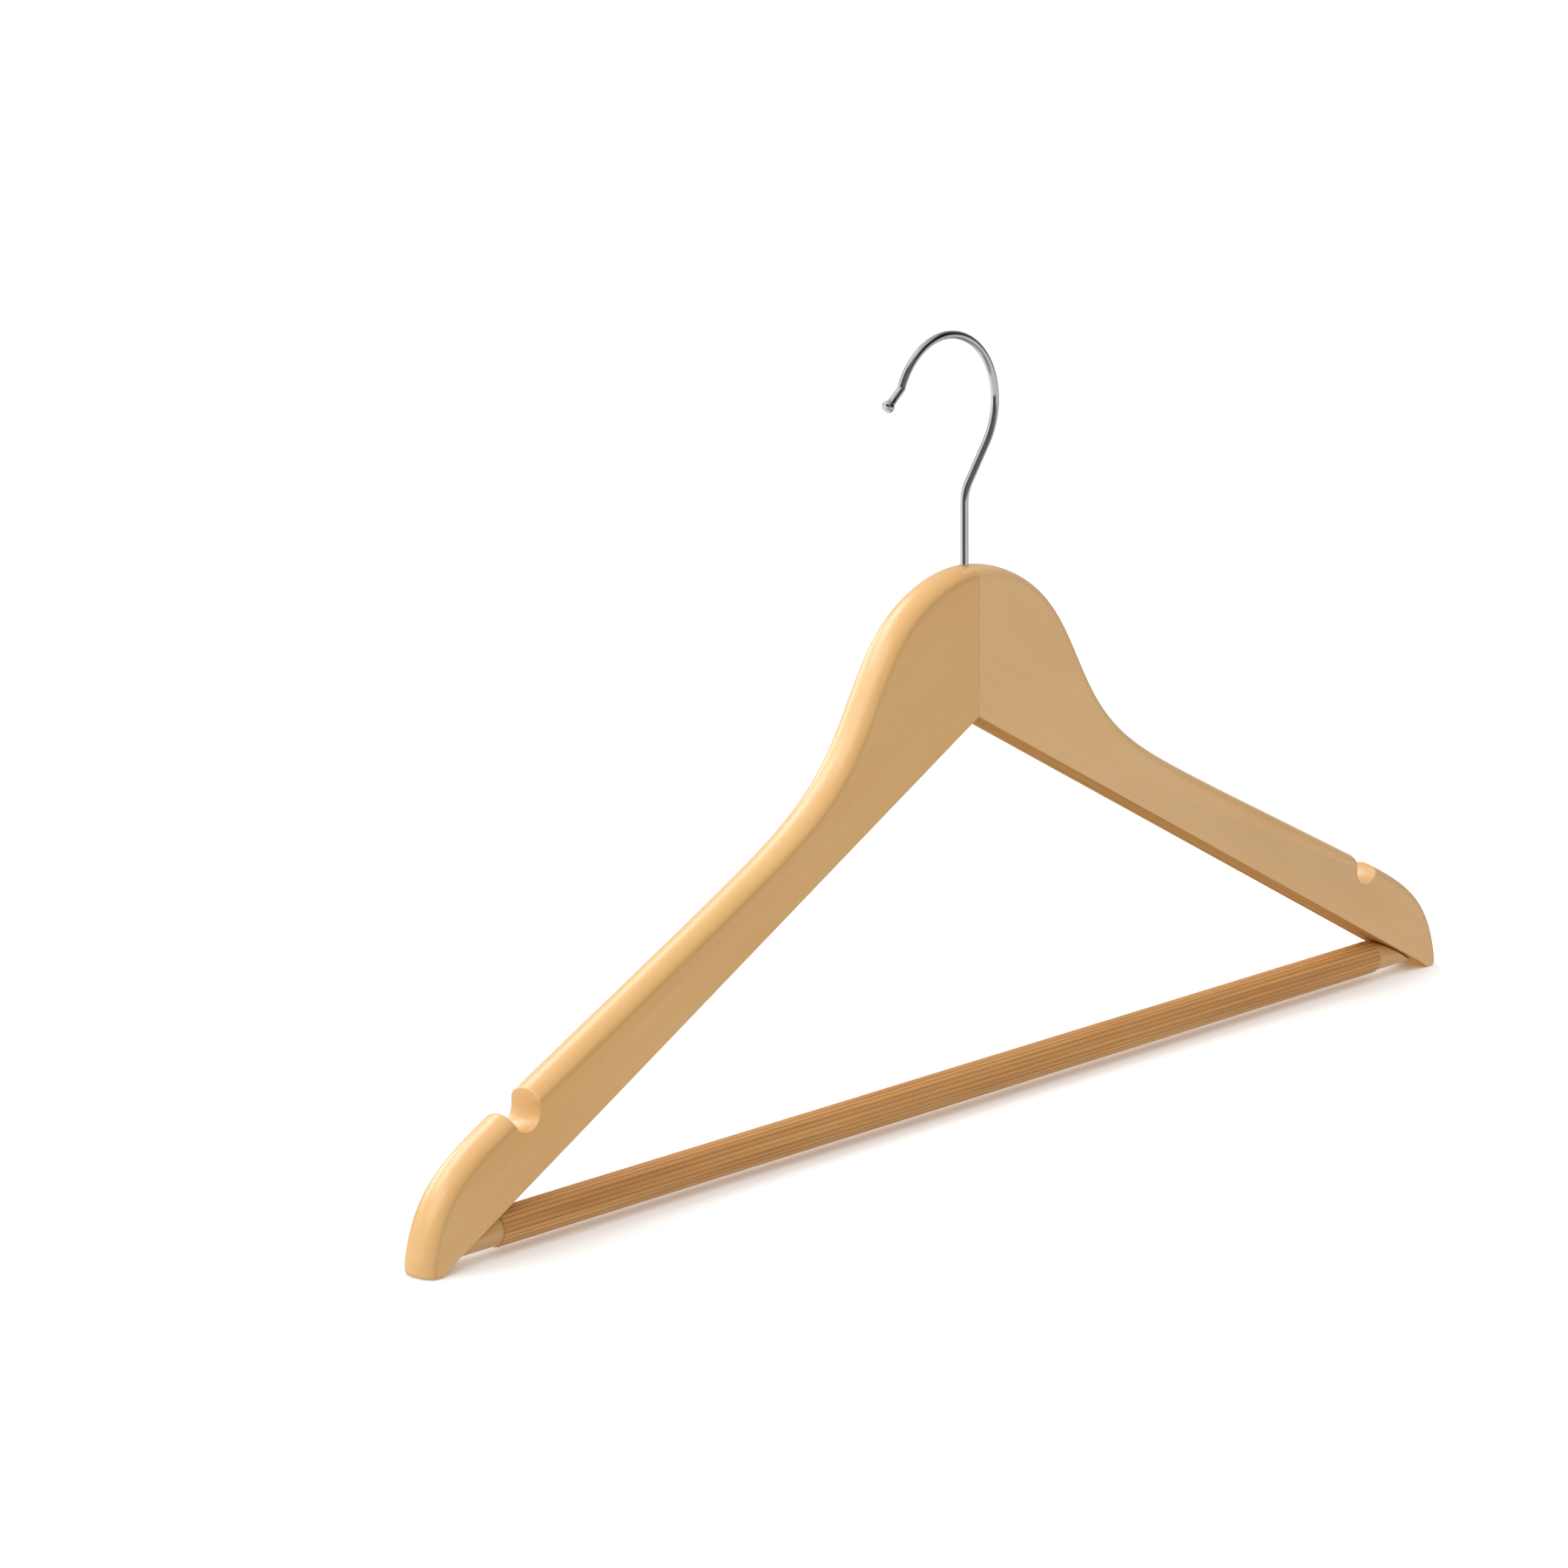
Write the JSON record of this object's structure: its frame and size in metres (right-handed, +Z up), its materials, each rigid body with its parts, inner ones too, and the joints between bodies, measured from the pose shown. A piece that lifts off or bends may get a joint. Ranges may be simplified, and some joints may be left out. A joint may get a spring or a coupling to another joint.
{
  "type": "clothes hanger",
  "caption": "Wooden suit hanger with curved shoulders, strap notches, a swivelling chromed wire hook and a round trouser bar in a ribbed anti-slip sleeve.",
  "frame": {"origin": "the rail seat: the inner top of the hook's round, where a hanging rail touches it, in the middle of the hanger's thickness", "axes": "+Z up, +X along the hanger to the right as seen from the front (the hook opens to the left), +Y towards the back face; the swivel axis of the hook is the vertical line x = 0.0075, y = 0"},
  "size_m": [0.4448, 0.0116, 0.2304],
  "materials": {
    "arm_wood": "pale close-grained wood under a smooth satin clear lacquer",
    "dowel_wood": "turned dowel, satin clear lacquer",
    "hook_chrome": "bright chromed steel wire",
    "sleeve_plastic": "translucent soft ribbed plastic over the wood, light brown",
    "brad_steel": "plain wire brad"
  },
  "bodies": {
    "hook": {"hook": "hook_chrome"},
    "frame": {"left_arm": "arm_wood", "right_arm": "arm_wood", "trouser_bar_dowel": "dowel_wood", "bar_sleeve": "sleeve_plastic", "left_bar_brad": "brad_steel", "right_bar_brad": "brad_steel"}
  },
  "joints": [
    {"name": "hook_swivel", "type": "hinge", "parent": "hook", "child": "frame", "pos_m": [0.0075, 0, -0.066], "axis": [0, 0, 1], "continuous": true}
  ]
}
